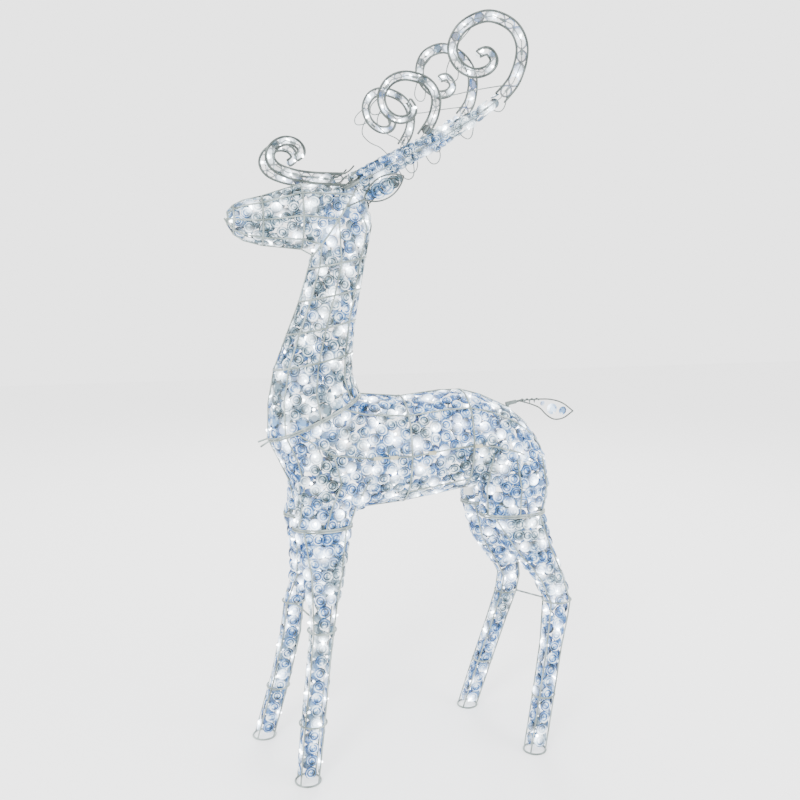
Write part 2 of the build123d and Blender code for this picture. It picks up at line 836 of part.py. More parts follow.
def beam_wires(side):
    planes = beam_planes(side)
    radii = [radius for x, z, radius in BEAM]
    flat = [radius * BEAM_FLATNESS for radius in radii]
    flat[-1] = CURL_CRYSTAL_THICKNESS
    for sign in (1, -1):
        rod([p.from_local_coords(Vector(sign * (r - WIRE), 0, 0)) for p, r in zip(planes, radii)])
        rod([p.from_local_coords(Vector(0, sign * (r - WIRE), 0)) for p, r in zip(planes, flat)])
    for i in (0, 2, 4, 5):
        oval(planes[i], radii[i] - WIRE, flat[i] - WIRE, WIRE)


def beam_socket(side):
    """The tube at the foot of the beam that pushes over the head's peg, and its spokes."""
    plane = beam_planes(side)[0]
    tube_r = PEG_R + PEG_CLEARANCE + SLEEVE_WALL
    with BuildSketch(plane) as profile:
        Circle(tube_r)
        Circle(PEG_R + PEG_CLEARANCE, mode=Mode.SUBTRACT)
    extrude(profile.sketch, amount=PEG_OUT + 4)
    radius = BEAM[0][2] - WIRE
    for sign in (1, -1):
        ends = [Vector(sign * (tube_r - 1), 0, WIRE), Vector(sign * radius, 0, WIRE / 2)]
        rod([plane.from_local_coords(end) for end in ends], WIRE)


def curl_path(points):
    with BuildLine() as path:
        Spline(*points)
    return path.line


def along(path, count):
    return [path @ (i / (count - 1)) for i in range(count)]


def curl_edges(points, normal, widths, samples):
    """The two edge curves of a curl, its half width running from one width to the other."""
    path = curl_path(points)
    edges = ([], [])
    for i in range(samples):
        t = i / (samples - 1)
        half = widths[0] + (widths[1] - widths[0]) * t - WIRE
        across = (path % t).cross(normal).normalized()
        for edge, sign in zip(edges, (1, -1)):
            edge.append((path @ t) + across * half * sign)
    return edges


def curl_wires(points, normal, widths):
    outer, inner = curl_edges(points, normal, widths, 2 * len(points))
    curved_rod(outer)
    curved_rod(inner)
    rod([outer[-1], inner[-1]])


def curl_crystal(points, normal, widths, start):
    """The flat crystal band between a curl's two edge wires, from start on."""
    half = widths[1] - 2 * WIRE - CURL_CRYSTAL_GAP / 2 + 1
    plane = Plane(points[0], z_dir=normal)
    edges = curl_edges(points[start:], normal, (half + WIRE, half + WIRE), 2 * len(points))
    outer, inner = [[plane.to_local_coords(point) for point in edge] for edge in edges]
    with BuildPart() as band:
        with BuildSketch(plane):
            with BuildLine():
                Spline(*outer)
                Spline(*inner)
                Line(outer[0], inner[0])
                Line(outer[-1], inner[-1])
            make_face()
        extrude(amount=CURL_CRYSTAL_THICKNESS / 2, both=True)
    return band.part


def beam_crystal(side):
    planes = beam_planes(side)
    with BuildPart() as shell:
        for inset, mode in ((SKIN_INSET, Mode.ADD), (SKIN_INSET + SKIN, Mode.SUBTRACT)):
            faces = []
            for plane, (x, z, radius) in zip(planes, BEAM):
                flat = max(radius * BEAM_FLATNESS - inset, radius - BEAM_THINNING - inset / 2)
                with BuildSketch(plane) as profile:
                    Ellipse(radius - inset, flat)
                faces.append(profile.sketch)
            loft(sections=faces, ruled=True, mode=mode)
    return shell.part


def antler_lights(side, curls):
    """The antler's light string on its outer face, with a lamp at each point it passes."""
    routes = []
    for points, normal, widths in curls:
        lift = normal * side * (CURL_CRYSTAL_THICKNESS / 2 + LAMP_R + LAMP_GAP)
        path = curl_path(points)
        routes.append([point + lift for point in along(path, len(points))])
    outward = antler_normal(side) * side
    beam = []
    for plane, (x, z, radius) in zip(beam_planes(side), BEAM):
        beam.append(plane.origin + outward * (radius * BEAM_FLATNESS + LAMP_R + LAMP_GAP))
    routes.append(beam)
    with BuildPart() as lights:
        for route in routes:
            rod(route, CORD, 3)
            for here, after in list(zip(route, route[1:]))[::2]:
                lamp((here + after) * 0.5, after)
    return lights.part


def antler(name, side):
    normal = antler_normal(side)
    end = [antler_point(x, z, side) for x, z in END_CURL]
    mid = [antler_point(x, z, side) for x, z in MID_CURL]
    brow = [brow_point(x, z, side) for x, z in BROW_CURL]
    curls = [
        (end, normal, CURL_HALF_WIDTH["end"]),
        (mid, normal, CURL_HALF_WIDTH["mid"]),
        (brow, brow_normal(side), CURL_HALF_WIDTH["brow"]),
    ]
    with BuildPart() as frame:
        beam_wires(side)
        beam_socket(side)
        for curl in curls:
            curl_wires(*curl)
    save(frame.part, f"{name}_antler_frame")
    save(beam_crystal(side), f"{name}_antler_beam_crystal")
    for curl, part_name in zip(curls, ("end", "mid", "brow")):
        save(curl_crystal(*curl, start=1), f"{name}_antler_{part_name}_curl_crystal")
    save(antler_lights(side, curls), f"{name}_antler_light_string")


# ---------------------------------------------------------------- tail

def tail():
    with BuildPart() as frame:
        with BuildSketch(tail_plane(2)):
            Circle(TAIL_PEG_R)
        extrude(amount=TAIL_SOCKET_LENGTH + 12)
        for outline in (TAIL_UPPER, TAIL_LOWER):
            curved_rod([Vector(x, 0, z) for x, z in outline])
        with Locations((TAIL_UPPER[-1][0], 0, TAIL_UPPER[-1][1])):
            Sphere(WIRE)
    save(frame.part, "tail_frame")
    with BuildPart() as discs:
        for x, z, radius in TAIL_DISCS:
            with BuildSketch(Plane.XZ.offset(-2)) as profile:
                with Locations((x, z)):
                    Circle(radius)
            extrude(profile.sketch, amount=4)
    save(discs.part, "tail_crystals")


def main():
    os.makedirs("parts", exist_ok=True)
    torso()
    neck_head()
    legs("front", FRONT_BRACE)
    legs("hind", HIND_BRACE)
    for name, side in SIDES.items():
        antler(name, side)
    tail()


main()
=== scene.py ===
import json
import math
import random

import bmesh
import bpy
from mathutils import Matrix, Vector
from mathutils.bvhtree import BVHTree
from mathutils.kdtree import KDTree


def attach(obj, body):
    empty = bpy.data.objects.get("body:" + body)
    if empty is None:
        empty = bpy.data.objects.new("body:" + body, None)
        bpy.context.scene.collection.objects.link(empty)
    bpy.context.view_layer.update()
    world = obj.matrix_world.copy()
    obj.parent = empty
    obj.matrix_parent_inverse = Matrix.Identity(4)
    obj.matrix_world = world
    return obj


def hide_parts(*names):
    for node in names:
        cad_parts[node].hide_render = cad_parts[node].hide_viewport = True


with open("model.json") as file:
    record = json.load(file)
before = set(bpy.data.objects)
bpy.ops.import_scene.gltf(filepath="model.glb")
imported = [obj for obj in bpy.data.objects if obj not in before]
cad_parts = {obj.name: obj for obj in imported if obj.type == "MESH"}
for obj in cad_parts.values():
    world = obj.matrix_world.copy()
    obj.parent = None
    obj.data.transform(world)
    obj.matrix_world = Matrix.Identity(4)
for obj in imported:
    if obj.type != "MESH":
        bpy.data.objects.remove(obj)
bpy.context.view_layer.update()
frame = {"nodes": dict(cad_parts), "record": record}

# Metres, in the frame's own axes: nose towards -X, left side towards -Y, ground at z = 0.
NODES = frame["nodes"]
MM = 0.001

# Crystal discs
DISC_R = 12.4 * MM
DISC_PITCH = 23.0 * MM
DISC_HALF_HEIGHT = 2.6 * MM
DISC_SEGMENTS = 14
DISC_TILT = math.radians(9)
# Share of the radius and share of the half height: a hub, a ridge round it and one near the rim
DISC_PROFILE = [
    (0.14, 0.95), (0.34, 0.95), (0.42, 0.45), (0.70, 0.50), (0.78, 1.00), (0.86, 1.00),
    (1.00, 0.15), (1.00, -0.25), (0.55, -0.70),
]
# Each facet's colour is painted light: painted reflections, painted highlights and painted shade, in place
# of what clear acrylic would catch
DISC_PAINTED_LIGHT = [0.60, 0.95, 0.26, 0.98, 0.72, 0.34, 0.06, 0.40]  # painted light for each band, from 0 painted shade to 1 painted highlight
CAP_PAINTED_LIGHT = 0.55
PAINTED_LIGHT_SCATTER = 0.16  # painted light scattered from disc to disc, and from facet to facet
PAINTED_LIGHT_SWINGS = (0.24, 0.20)  # a painted highlight on one side and painted shade on the other, round a disc, once and twice per turn
LEAST_CONTRAST = 0.55
DISC_SIZES = (0.94, 1.04)  # smallest and largest, of the radius
GLOW_REACH = 11.0 * MM  # how far a bulb lights the discs round it
GLOW_STRENGTH = 6.0
HEAD_PITCH = 21.0 * MM
HEAD_DISC_R = 11.2 * MM
BEAM_PITCH = 15.0 * MM
BEAM_DISC_R = 9.5 * MM

# Leg discs
LEG_PITCH = 24.0 * MM
LEG_DISC_R = 12.8 * MM
LEG_FLATNESS = 0.84  # a slim leg's discs lie between its wires, inside the skin
LEG_WIRES = 4
SLIM_LEG_GIRTH = 185.0 * MM  # a leg up to this round has one disc between each two wires
LEG_REACH = 300.0 * MM  # rays towards a leg's centre start this far out
LEG_HALF_SIZE = 30.0 * MM  # where a ray finds no skin
LEG_LIMIT = 90.0 * MM  # a hit further out than this is not the leg
RING_POINTS = 40  # a level of the skin with more points than this is a ring

# Sampling the CAD skins
RAY_START = 0.4 * MM  # off the face, so that a ray misses its own triangle
EDGE_MARGIN = 7.0 * MM  # from a disc's centre to the edge of its skin
COVER_DEPTH = 2.4 * EDGE_MARGIN
SKIN_LIMIT = 4.5 * MM  # thicker than the CAD skin, to tell its faces from its edges
OPEN_RAYS = 3  # of the five rays sent out from a face that is on the outside
TORSO_SAMPLES = (60000, 6000)  # how many to try, and how many of them may seat a bulb
BODY_SAMPLES = (24000, 2500)
HEAD_SAMPLES = (16000, 2500)
BEAM_SAMPLES = (8000, 2500)
LEG_SAMPLES = 3000

# Light bulbs
BULB_PITCH = 46.0 * MM
BULB_R = 3.0 * MM
BULB_DEPTH = 2.0 * MM  # under the skin
BULB_LEAN = 1.2  # radians, either way
BULB_SPIN = 6.0
BULB_PROFILE = [  # share of the radius, height in bulb radii
    (0.70, -1.8), (0.95, -1.4), (1.0, 0.4), (0.86, 1.2), (0.55, 1.8), (0.22, 2.2),
]
BULB_SEGMENTS = 8

# Surfaces
PATCH_SCALE = 38.0
GRAIN_DEPTH = 0.4 * MM
RIPPLE_DEPTH = 1.5 * MM
GREYER_FROM = (0.70, 0.86)  # heights between which the discs turn greyer, towards the neck and head
GREYER_BY = (-0.04, 0.08)

# Camera
CAMERA_AT = (-0.5343, -1.8052, 1.03)
CAMERA_TOWARDS = (0.2696, 0.9526, -0.1409)
CAMERA_LENS = 40.545
CAMERA_SENSOR = 36.0

# Stage
FLOOR_SIZE = 14.0
WORLD_STRENGTH = 3.0
LIGHTS_TOWARDS = (0.0, 0.0, 0.8)
LIGHTS = [  # name, place, size, power
    ("key", (-2.2, -3.0, 3.2), 1.2, 160.0),
    ("fill", (2.6, -2.2, 2.2), 2.0, 60.0),
    ("rim", (0.8, 2.8, 2.8), 1.6, 90.0),
]

# Antlers: each lies in a plane that leans outwards, and y is worked out from x and z
ANTLER_FOOT = (-114, 33.0, 1208)
ANTLER_LEAN = (0.221, 0.155)  # y gained along x and along z
BROW_FOOT = (-144, 36.0)
BROW_LEAN = -0.09
CURL_START = 16.0 * MM  # from the foot of a curl to its first disc
CURL_STEP = 2.35  # from one disc of a curl to the next, in disc radii
CURL_DISC_LENGTH = 1.25  # of the radius
CURL_DISC_WIDTH = 0.86  # of the length
CURL_SHADE = -0.34
CURL_CLEARNESS = (0.0, 0.2, 0.6, 0.85)
CURL_BULB_AHEAD = 1.3  # from a disc to its bulb, in disc radii
CURL_BULB_R = 0.85 * BULB_R
RAIL_R = 2.2 * MM  # the curls' coated edge wires
RAIL_STEP = 7  # a curl's edge has a point every so many millimetres
CURL_SIZES = {  # disc radius and half width between the edges, each at the foot and at the tip
    "end": ((10.5 * MM, 6.0 * MM), (11.9 * MM, 6.9 * MM)),
    "mid": ((8.0 * MM, 5.5 * MM), (8.9 * MM, 5.9 * MM)),
    "brow": ((9.5 * MM, 6.0 * MM), (10.9 * MM, 6.4 * MM)),
}

# Centre lines of the curls in the x-z plane, as the frame's wires run, in millimetres
END_CURL = [
    (146, 1364), (172, 1400), (181, 1453), (160, 1492), (113, 1509), (68, 1490),
    (50, 1454), (62, 1424), (91, 1408), (119, 1414), (130, 1431), (117, 1448), (100, 1443),
]
MID_CURL = [
    (0, 1291), (20, 1326), (24, 1364), (5, 1391), (-34, 1402), (-64, 1392),
    (-79, 1365), (-71, 1338), (-49, 1323), (-27, 1325), (-17, 1340), (-27, 1356),
]
BROW_CURL = [
    (-144, 1210), (-204, 1210), (-249, 1215), (-282, 1227), (-294, 1246),
    (-285, 1266), (-264, 1277), (-241, 1273), (-231, 1257), (-243, 1246),
]
STRING_R = 1.1 * MM
STRING_LOOPS = [  # x, z and how far out of the antler's plane, in millimetres
    [(-46, 1238, 12), (-34, 1215, 16), (-18, 1208, 10), (-8, 1222, 4), (-14, 1246, 2)],
    [(8, 1262, 10), (18, 1240, 14), (36, 1240, 8), (40, 1262, 2), (30, 1276, 0)],
    [(70, 1302, 8), (84, 1286, 12), (100, 1290, 6), (98, 1312, 0)],
    [(128, 1346, 6), (146, 1334, 10), (160, 1350, 4), (158, 1376, 0)],
    [(92, 1500, 4), (76, 1478, 10), (56, 1456, 12), (44, 1440, 4)],
    [(24, 1364, 4), (50, 1366, 10), (96, 1378, 8), (148, 1386, 2)],
    [(52, 1444, 2), (38, 1412, 10), (50, 1392, 14), (68, 1396, 8), (62, 1420, 0)],
    [(-79, 1365, 2), (-98, 1352, 10), (-100, 1332, 12), (-84, 1330, 4), (-71, 1338, 0)],
    [(-74, 1348, 0), (-92, 1320, 8), (-70, 1296, 10), (-40, 1286, 4), (-24, 1262, 2)],
]

# Collar, ears and tail, in millimetres unless they say otherwise
COLLAR_WIRE_R = 1.9 * MM
COLLAR_STUBS = [  # name, body, and the ends of each
    ("neck_collar_stub", "neck_head", (-300, 4, 695), (-322, 4, 688)),
    ("torso_collar_stub", "torso", (-299, -4, 691), (-318, -4, 679)),
]
EAR_BASE = (-112, 56, 1170)
EAR_AXIS = (0.764, 0.438, 0.472)
EAR_DISCS = [(17, 10.0), (33, 15.5), (51, 17.0), (67, 13.0), (79, 8.0)]  # distance from its base, radius
EAR_SHADE = -0.2
TAIL_DISCS = [(303, 743, 5.5), (326, 730, 12), (352, 725, 9.5)]  # x, z, radius
TAIL_BULB = (315, 0, 735)
TWIST_START = (252, 0, 750.5)
TWIST_LENGTH = 40
TWIST_R = 4.4 * MM  # the string's winding round the tail's stem
TWIST_TURNS = 3.5
TWIST_POINTS = 60
TWIST_WIRE_R = 1.2 * MM

SIDES = {"left": -1, "right": 1}
# Frames that get the darker copy of the frame's wire: painted shade
SHADED_FRAMES = [
    "left_antler_frame", "right_antler_frame", "left_ear_frame", "right_ear_frame", "tail_frame",
]
rng = random.Random(7)


# ---------------------------------------------------------------- materials

def new_material(name):
    material = bpy.data.materials.new(name)
    material.use_nodes = True
    return material, material.node_tree.nodes, material.node_tree.links


def ramp(nodes, stops):
    """A colour ramp with the given (position, colour) stops."""
    node = nodes.new("ShaderNodeValToRGB")
    elements = node.color_ramp.elements
    for element, (position, colour) in zip(elements, stops):
        element.position = position
        element.color = (*colour, 1)
    for position, colour in stops[2:]:
        elements.new(position).color = (*colour, 1)
    return node


def noise(nodes, links, scale, detail=3.0):
    coordinates = nodes.new("ShaderNodeTexCoord")
    node = nodes.new("ShaderNodeTexNoise")
    node.inputs["Scale"].default_value = scale
    node.inputs["Detail"].default_value = detail
    links.new(coordinates.outputs["Object"], node.inputs["Vector"])
    return node


def bump(nodes, links, height, strength, distance):
    node = nodes.new("ShaderNodeBump")
    node.inputs["Strength"].default_value = strength
    node.inputs["Distance"].default_value = distance
    links.new(height, node.inputs["Height"])
    return node


def coated(name, stops, roughness, grain, bump_strength, metallic=0.0, specular=0.5):
    """Painted or moulded stock: patchy colour, a slightly uneven gloss and a fine grain."""
    material, nodes, links = new_material(name)
    shader = nodes["Principled BSDF"]
    shader.inputs["Metallic"].default_value = metallic
    shader.inputs["Specular IOR Level"].default_value = specular
    patches = noise(nodes, links, PATCH_SCALE)
    colour = ramp(nodes, stops)
    links.new(patches.outputs["Fac"], colour.inputs["Fac"])
    links.new(colour.outputs["Color"], shader.inputs["Base Color"])
    fine = noise(nodes, links, grain, 5.0)
    gloss = nodes.new("ShaderNodeMapRange")
    gloss.inputs["To Min"].default_value = roughness[0]
    gloss.inputs["To Max"].default_value = roughness[1]
    links.new(fine.outputs["Fac"], gloss.inputs["Value"])
    links.new(gloss.outputs["Result"], shader.inputs["Roughness"])
    rough = bump(nodes, links, fine.outputs["Fac"], bump_strength, GRAIN_DEPTH)
    links.new(rough.outputs["Normal"], shader.inputs["Normal"])
    return material


def mix_colours(nodes, links, factor, first, second):
    node = nodes.new("ShaderNodeMix")
    node.data_type = "RGBA"
    links.new(factor, node.inputs["Factor"])
    links.new(first, node.inputs[6])  # the colour inputs share their names with the number inputs
    links.new(second, node.inputs[7])
    return node.outputs[2]


def attribute(nodes, name):
    node = nodes.new("ShaderNodeAttribute")
    node.attribute_name = name
    return node.outputs["Fac"]


def crystal_material():
    """Clear moulded acrylic whose facets carry painted light: painted blue, grey-green and white
    reflections and painted shade, a share for each facet.
    """
    material, nodes, links = new_material("clear_acrylic")
    shader = nodes["Principled BSDF"]
    shader.inputs["Specular IOR Level"].default_value = 0.35
    shader.inputs["IOR"].default_value = 1.49
    painted_light = attribute(nodes, "painted_light")
    # Ramps from painted shade through painted blue or grey-green reflections to a painted white highlight
    blue = ramp(nodes, [
        (0.0, (0.008, 0.020, 0.032)), (1.0, (0.95, 0.98, 1.0)), (0.18, (0.011, 0.054, 0.180)),
        (0.42, (0.030, 0.120, 0.330)), (0.64, (0.140, 0.310, 0.560)), (0.86, (0.62, 0.77, 0.90)),
    ])
    grey = ramp(nodes, [
        (0.0, (0.010, 0.018, 0.014)), (1.0, (0.95, 0.98, 1.0)), (0.22, (0.030, 0.055, 0.055)),
        (0.46, (0.075, 0.120, 0.130)), (0.68, (0.230, 0.310, 0.330)), (0.88, (0.66, 0.78, 0.84)),
    ])
    links.new(painted_light, blue.inputs["Fac"])
    links.new(painted_light, grey.inputs["Fac"])
    # Patches, and more of the discs higher up towards the neck and head, take the grey-green painted
    # reflections in place of the blue ones
    patches = noise(nodes, links, 9.0, 2.0)
    place = nodes.new("ShaderNodeTexCoord")
    axes = nodes.new("ShaderNodeSeparateXYZ")
    links.new(place.outputs["Object"], axes.inputs["Vector"])
    upwards = nodes.new("ShaderNodeMapRange")
    upwards.inputs["From Min"].default_value = GREYER_FROM[0]
    upwards.inputs["From Max"].default_value = GREYER_FROM[1]
    upwards.inputs["To Min"].default_value = GREYER_BY[0]
    upwards.inputs["To Max"].default_value = GREYER_BY[1]
    links.new(axes.outputs["Z"], upwards.inputs["Value"])
    both = nodes.new("ShaderNodeMath")
    links.new(patches.outputs["Fac"], both.inputs[0])
    links.new(upwards.outputs["Result"], both.inputs[1])
    mask = ramp(nodes, [(0.46, (0.0, 0.0, 0.0)), (0.60, (0.85, 0.85, 0.85))])
    links.new(both.outputs["Value"], mask.inputs["Fac"])
    colour = mix_colours(nodes, links, mask.outputs["Color"], blue.outputs["Color"], grey.outputs["Color"])
    links.new(colour, shader.inputs["Base Color"])
    glow = nodes.new("ShaderNodeMapRange")
    glow.inputs["To Max"].default_value = GLOW_STRENGTH
    links.new(attribute(nodes, "glow"), glow.inputs["Value"])
    links.new(glow.outputs["Result"], shader.inputs["Emission Strength"])
    shader.inputs["Emission Color"].default_value = (0.88, 0.95, 1.0, 1)
    facing = nodes.new("ShaderNodeLayerWeight")
    facing.inputs["Blend"].default_value = 0.45
    opacity = nodes.new("ShaderNodeMapRange")
    opacity.inputs["To Min"].default_value = 0.80
    opacity.inputs["To Max"].default_value = 0.98
    links.new(facing.outputs["Facing"], opacity.inputs["Value"])
    seen = nodes.new("ShaderNodeMath")
    seen.operation = "SUBTRACT"
    seen.use_clamp = True
    links.new(opacity.outputs["Result"], seen.inputs[0])
    links.new(attribute(nodes, "clear"), seen.inputs[1])
    links.new(seen.outputs["Value"], shader.inputs["Alpha"])
    streaks = noise(nodes, links, 120.0, 2.0)
    gloss = nodes.new("ShaderNodeMapRange")
    gloss.inputs["To Min"].default_value = 0.04
    gloss.inputs["To Max"].default_value = 0.20
    links.new(streaks.outputs["Fac"], gloss.inputs["Value"])
    links.new(gloss.outputs["Result"], shader.inputs["Roughness"])
    ripple = bump(nodes, links, streaks.outputs["Fac"], 0.25, RIPPLE_DEPTH)
    links.new(ripple.outputs["Normal"], shader.inputs["Normal"])
    return material


def bulb_material(name, strength):
    """A lit bulb, cooler and whiter in patches."""
    material, nodes, links = new_material(name)
    shader = nodes["Principled BSDF"]
    shader.inputs["Base Color"].default_value = (0.92, 0.96, 1.0, 1)
    shader.inputs["Roughness"].default_value = 0.12
    shader.inputs["Emission Strength"].default_value = strength
    glow = noise(nodes, links, 160.0, 1.0)
    colour = ramp(nodes, [(0.3, (0.82, 0.92, 1.0)), (0.6, (1.0, 1.0, 1.0))])
    links.new(glow.outputs["Fac"], colour.inputs["Fac"])
    links.new(colour.outputs["Color"], shader.inputs["Emission Color"])
    return material


def string_material():
    """The light string's clear plastic insulation over a silvery wire."""
    material = coated("clear_insulation", [(0.3, (0.05, 0.07, 0.07)), (0.7, (0.17, 0.21, 0.21))],
                      (0.15, 0.35), 500.0, 0.1)
    material.node_tree.nodes["Principled BSDF"].inputs["Alpha"].default_value = 0.85
    return material


def make_materials():
    return {
        "frame": coated("painted_wire", [(0.32, (0.085, 0.110, 0.102)), (0.68, (0.30, 0.35, 0.34))],
                        (0.28, 0.48), 420.0, 0.35, 0.25),
        # A darker copy of the frame's painted wire, for the antler, ear and tail frames and the curls' edge
        # wires: painted shade
        "antler": coated("shaded_copy_of_wire",
                         [(0.32, (0.020, 0.030, 0.028)), (0.68, (0.085, 0.105, 0.100))],
                         (0.28, 0.48), 420.0, 0.35, 0.25),
        "fitting": coated("painted_fitting", [(0.3, (0.07, 0.09, 0.085)), (0.7, (0.20, 0.235, 0.23))],
                          (0.30, 0.50), 300.0, 0.3, 0.35),
        "crystal": crystal_material(),
        "lamp": bulb_material("lit_bulb", 6.0),
        "core": bulb_material("lit_core", 14.0),
        "string": string_material(),
        "connector": coated("white_plastic", [(0.3, (0.66, 0.68, 0.66)), (0.7, (0.82, 0.83, 0.81))],
                            (0.40, 0.60), 900.0, 0.15),
        "clip": coated("beige_clip", [(0.3, (0.30, 0.29, 0.20)), (0.7, (0.44, 0.43, 0.33))],
                       (0.35, 0.55), 800.0, 0.15),
    }


# ---------------------------------------------------------------- sampling the CAD skins

class Skin:
    """The outer face of one or more CAD crystal skins."""

    def __init__(self, names):
        self.corners = []
        for name in names:
            mesh = NODES[name].data
            mesh.calc_loop_triangles()
            for triangle in mesh.loop_triangles:
                self.corners.append([mesh.vertices[i].co.copy() for i in triangle.vertices])
        vertices = [corner for triangle in self.corners for corner in triangle]
        faces = [(i, i + 1, i + 2) for i in range(0, len(vertices), 3)]
        self.tree = BVHTree.FromPolygons(vertices, faces)
        self.vertices = vertices

    def escapes(self, point, direction):
        return self.tree.ray_cast(point + direction * RAY_START, direction)[0] is None

    def is_outer(self, point, normal):
        """True on the skin's outer face: it is thin behind, and open in front."""
        behind = self.tree.ray_cast(point - normal * RAY_START, -normal)
        if behind[0] is None or behind[3] > SKIN_LIMIT:
            return False
        across = normal.orthogonal().normalized()
        other = normal.cross(across)
        fan = [normal]
        for lean in (across, -across, other, -other):
            fan.append((normal + lean).normalized())
        return sum(self.escapes(point, direction) for direction in fan) >= OPEN_RAYS

    def is_covered(self, point, normal):
        """True where the skin goes on for a disc's margin all round."""
        across = normal.orthogonal().normalized()
        other = normal.cross(across)
        for side in (across, -across, other, -other):
            start = point + side * EDGE_MARGIN + normal * EDGE_MARGIN
            if self.tree.ray_cast(start, -normal, COVER_DEPTH)[0] is None:
                return False
        return True

    def samples(self, count):
        """Random (point, normal) pairs on the outer face."""
        areas = []
        for a, b, c in self.corners:
            areas.append((b - a).cross(c - a).length)
        found = []
        for a, b, c in rng.choices(self.corners, areas, k=count):
            u = rng.random()
            v = rng.random()
            if u + v > 1:
                u = 1 - u
                v = 1 - v
            point = a + (b - a) * u + (c - a) * v
            normal = (b - a).cross(c - a).normalized()
            if self.is_outer(point, normal) and self.is_covered(point, normal):
                found.append((point, normal))
        return found


def packed(candidates, pitch, along):
    """Candidates at least a pitch apart, taken in order along a direction, which packs them closely."""
    chosen = []
    cells = {}
    for point, normal in sorted(candidates, key=lambda c: c[0].dot(along)):
        cell = tuple(int(math.floor(value / pitch)) for value in point)
        near = []
        for dx in (-1, 0, 1):
            for dy in (-1, 0, 1):
                for dz in (-1, 0, 1):
                    near += cells.get((cell[0] + dx, cell[1] + dy, cell[2] + dz), [])
        if all((point - other).length >= pitch for other in near):
            chosen.append((point, normal))
            cells.setdefault(cell, []).append(point)
    return chosen


def leg_centres(skin):
    """The leg's centre at each height where its skin has a ring of points, from the top down."""
    levels = {}
    for vertex in skin.vertices:
        levels.setdefault(round(vertex.z, 3), []).append(vertex)
    centres = []
    for z, ring in sorted(levels.items(), reverse=True):
        if len(ring) > RING_POINTS:
            xs = [v.x for v in ring]
            ys = [v.y for v in ring]
            centres.append(Vector(((min(xs) + max(xs)) / 2, (min(ys) + max(ys)) / 2, z)))
    return centres


def centre_at(centres, z):
    for upper, lower in zip(centres, centres[1:]):
        if upper.z >= z >= lower.z:
            return lower.lerp(upper, (z - lower.z) / max(upper.z - lower.z, 1e-6))
    return centres[-1] if z < centres[-1].z else centres[0]


def leg_discs(skin):
    """Rows of discs down a leg: one between each two wires where it is slim, more where it is wide."""
    centres = leg_centres(skin)
    top = max(v.z for v in skin.vertices)
    bottom = min(v.z for v in skin.vertices)
    rows = int((top - bottom) / LEG_PITCH)
    found = []
    for row in range(rows):
        z = top - (row + 0.5) * (top - bottom) / rows
        centre = centre_at(centres, z)
        half_sizes = []
        for direction in (Vector((1, 0, 0)), Vector((0, 1, 0))):
            hit = skin.tree.ray_cast(centre + direction * LEG_REACH, -direction)
            half_sizes.append((hit[0] - centre).length if hit[0] else LEG_HALF_SIZE)
        around = math.pi * sum(half_sizes)
        count = LEG_WIRES if around < SLIM_LEG_GIRTH else round(around / DISC_PITCH)
        turn = 0 if count == LEG_WIRES else row % 2 * math.pi / count
        for i in range(count):
            angle = turn + 2 * math.pi * i / count
            direction = Vector((math.cos(angle), math.sin(angle), 0))
            hit = skin.tree.ray_cast(centre + direction * LEG_REACH, -direction)
            if hit[0] is not None and (hit[0] - centre).length < LEG_LIMIT:
                normal = hit[1] if hit[1].dot(direction) > 0 else -hit[1]
                reach = LEG_FLATNESS if count == LEG_WIRES else 1.0
                found.append((centre.lerp(hit[0], reach), normal))
    return found


# ---------------------------------------------------------------- meshes

def ring_stack(mesh, matrix, profile, radius, height, segments):
    """Adds a closed turned solid, and returns its faces as bands from the top down, then its two caps."""
    rings = []
    for share, level in profile:
        ring = []
        for i in range(segments):
            angle = 2 * math.pi * i / segments
            across = share * radius
            local = Vector((across * math.cos(angle), across * math.sin(angle), level * height))
            ring.append(mesh.verts.new(matrix @ local))
        rings.append(ring)
    bands = []
    for upper, lower in zip(rings, rings[1:]):
        band = []
        for i in range(segments):
            j = (i + 1) % segments
            band.append(mesh.faces.new((upper[i], lower[i], lower[j], upper[j])))
        bands.append(band)
    caps = [mesh.faces.new(rings[0]), mesh.faces.new(list(reversed(rings[-1])))]
    return bands, caps


def placed(point, normal, spin=0.0, tilt=0.0):
    """A matrix whose z axis is the normal, spun about it and leant by the tilt."""
    turn = normal.to_track_quat("Z", "Y").to_matrix().to_4x4()
    lean = Matrix.Rotation(tilt, 4, Vector((math.cos(spin), math.sin(spin), 0)))
    return Matrix.Translation(point) @ turn @ lean @ Matrix.Rotation(spin, 4, "Z")


def finish_piece(name, mesh, body, material, nodes=(), smooth=False):
    bmesh.ops.recalc_face_normals(mesh, faces=mesh.faces)
    data = bpy.data.meshes.new(name)
    mesh.to_mesh(data)
    mesh.free()
    for polygon in data.polygons:
        polygon.use_smooth = smooth
    piece = bpy.data.objects.new(name, data)
    bpy.context.scene.collection.objects.link(piece)
    data.materials.append(material)
    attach(piece, body)
    if nodes:
        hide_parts(*nodes)


class Glow:
    """Where the lit bulbs are, for the light they give to the discs round them."""

    def __init__(self, points):
        self.tree = KDTree(max(len(points), 1))
        for i, point in enumerate(points):
            self.tree.insert(point, i)
        self.tree.balance()
        self.lit = bool(points)

    def at(self, point):
        if not self.lit:
            return 0.0
        distance = self.tree.find(point)[2]
        return math.exp(-(distance / GLOW_REACH) ** 2)


def new_disc_mesh():
    mesh = bmesh.new()
    for name in ("painted_light", "glow", "clear"):
        mesh.faces.layers.float.new(name)
    return mesh


